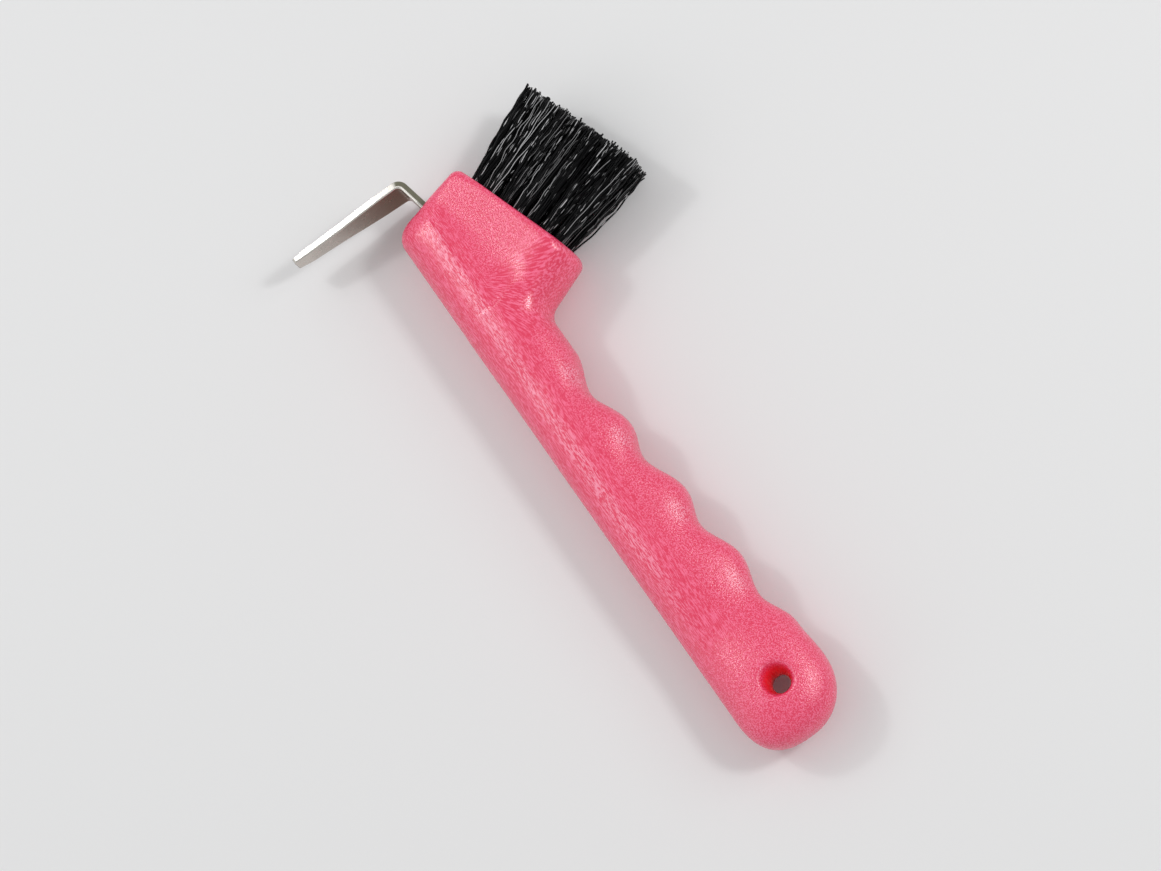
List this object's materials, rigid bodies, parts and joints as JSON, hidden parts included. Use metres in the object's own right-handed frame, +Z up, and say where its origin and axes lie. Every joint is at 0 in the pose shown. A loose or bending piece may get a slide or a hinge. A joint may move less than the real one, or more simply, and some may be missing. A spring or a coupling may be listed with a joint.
{
  "type": "hoof pick",
  "caption": "Hand tool for cleaning hooves: a moulded handle with finger crests and a hanging eye, a bent flat steel pick in its nose and a short stiff nylon brush behind it.",
  "frame": {"origin": "middle of the bounding box in plan, on the plane that the tool lies on", "axes": "+X runs along the handle from the pick to the hanging eye, +Y points from the straight back edge to the brush, +Z points up through the handle's thickness"},
  "size_m": [0.1888, 0.0904, 0.022],
  "materials": {
    "pink_plastic": "satin moulding with a fine leather grain",
    "steel": "bright zinc-plated strip with polished edges",
    "black_nylon": "glossy crimped bristle",
    "anchor_wire": "flat drawn wire"
  },
  "bodies": {
    "root": {"handle": "pink_plastic", "pick": "steel", "tuft_01": "black_nylon", "anchor_01": "anchor_wire", "tuft_02": "black_nylon", "anchor_02": "anchor_wire", "tuft_03": "black_nylon", "anchor_03": "anchor_wire", "tuft_04": "black_nylon", "anchor_04": "anchor_wire", "tuft_05": "black_nylon", "anchor_05": "anchor_wire", "tuft_06": "black_nylon", "anchor_06": "anchor_wire", "tuft_07": "black_nylon", "anchor_07": "anchor_wire", "tuft_08": "black_nylon", "anchor_08": "anchor_wire", "tuft_09": "black_nylon", "anchor_09": "anchor_wire", "tuft_10": "black_nylon", "anchor_10": "anchor_wire", "tuft_11": "black_nylon", "anchor_11": "anchor_wire", "tuft_12": "black_nylon", "anchor_12": "anchor_wire", "tuft_13": "black_nylon", "anchor_13": "anchor_wire", "tuft_14": "black_nylon", "anchor_14": "anchor_wire", "tuft_15": "black_nylon", "anchor_15": "anchor_wire", "tuft_16": "black_nylon", "anchor_16": "anchor_wire", "tuft_17": "black_nylon", "anchor_17": "anchor_wire", "tuft_18": "black_nylon", "anchor_18": "anchor_wire", "tuft_19": "black_nylon", "anchor_19": "anchor_wire", "tuft_20": "black_nylon", "anchor_20": "anchor_wire"}
  },
  "joints": []
}
